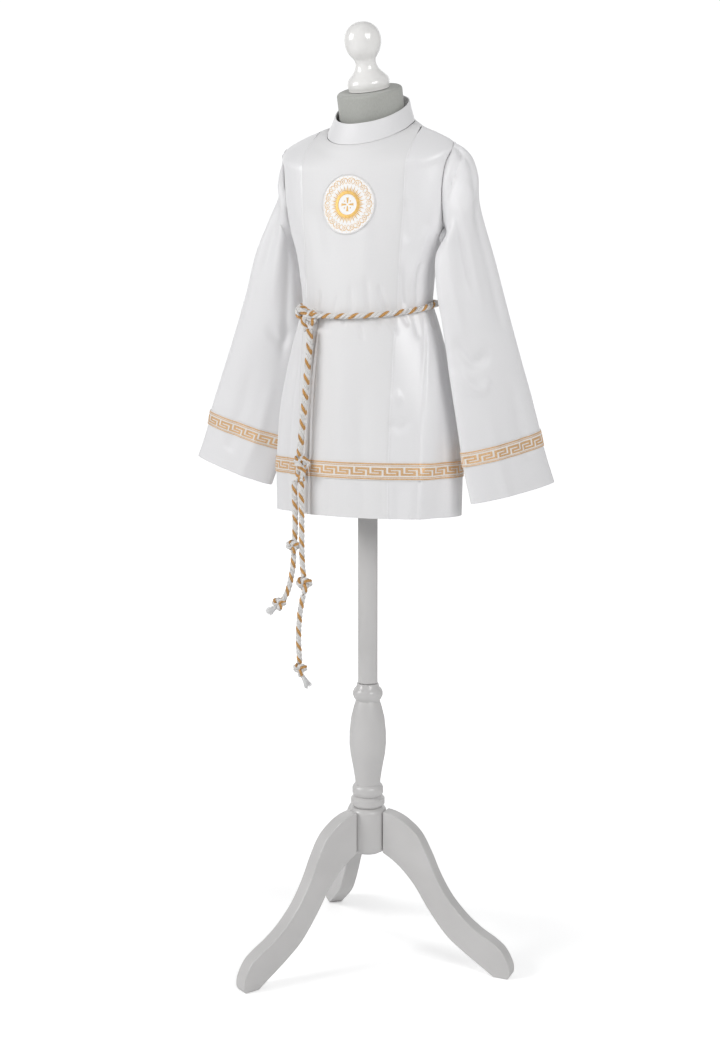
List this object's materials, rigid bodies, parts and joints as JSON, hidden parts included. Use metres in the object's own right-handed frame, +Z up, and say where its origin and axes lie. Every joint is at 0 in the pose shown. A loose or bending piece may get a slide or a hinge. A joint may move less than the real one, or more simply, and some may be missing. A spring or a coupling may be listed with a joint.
{
  "type": "short white alb on a limbless dress form with a tripod stand",
  "caption": "Child's short white alb with flared sleeves, meander galloon, round medallion and knotted rope girdle, filled out on a limbless dress form with a turned post and tripod stand",
  "frame": {"origin": "middle of the object's bounding box at the floor; the stand's post stands 39 mm towards +X and 16 mm towards +Y of it", "axes": "+Z up; the alb's front faces -Y and the wearer's left is +X"},
  "size_m": [0.6362, 0.4321, 1.5105],
  "materials": {
    "alb_satin": "white polyester satin with a soft sheen",
    "galloon": "woven white ribbon with a copper-gold metallic thread meander",
    "embroidery": "white satin patch with gold thread embroidery",
    "girdle_cord": "twisted white and gold rayon rope",
    "form_jersey": "grey cotton jersey",
    "white_lacquer": "glossy white lacquer on turned wood",
    "grey_paint": "satin light grey paint"
  },
  "bodies": {
    "root": {"front_centre": "alb_satin", "front_side_left": "alb_satin", "front_side_right": "alb_satin", "back_left": "alb_satin", "back_right": "alb_satin", "collar": "alb_satin", "sleeve_left": "alb_satin", "sleeve_right": "alb_satin", "band_body": "galloon", "band_sleeve_left": "galloon", "band_sleeve_right": "galloon", "medallion": "embroidery", "girdle_waist": "girdle_cord", "knot_main": "girdle_cord", "cord_drop_front": "girdle_cord", "cord_drop_rear": "girdle_cord", "cord_short_upper": "girdle_cord", "cord_short_lower": "girdle_cord", "cord_long_upper": "girdle_cord", "cord_long_lower": "girdle_cord", "knot_double": "girdle_cord", "knot_short_mid": "girdle_cord", "knot_short_end": "girdle_cord", "knot_long_mid": "girdle_cord", "knot_long_end": "girdle_cord", "tip_short": "girdle_cord", "tip_long": "girdle_cord", "form_torso": "form_jersey", "form_neck": "form_jersey", "form_finial": "white_lacquer", "stand_post": "grey_paint", "stand_hub": "grey_paint", "stand_leg_1": "grey_paint", "stand_leg_2": "grey_paint", "stand_leg_3": "grey_paint", "stand_pole": "grey_paint"}
  },
  "joints": []
}
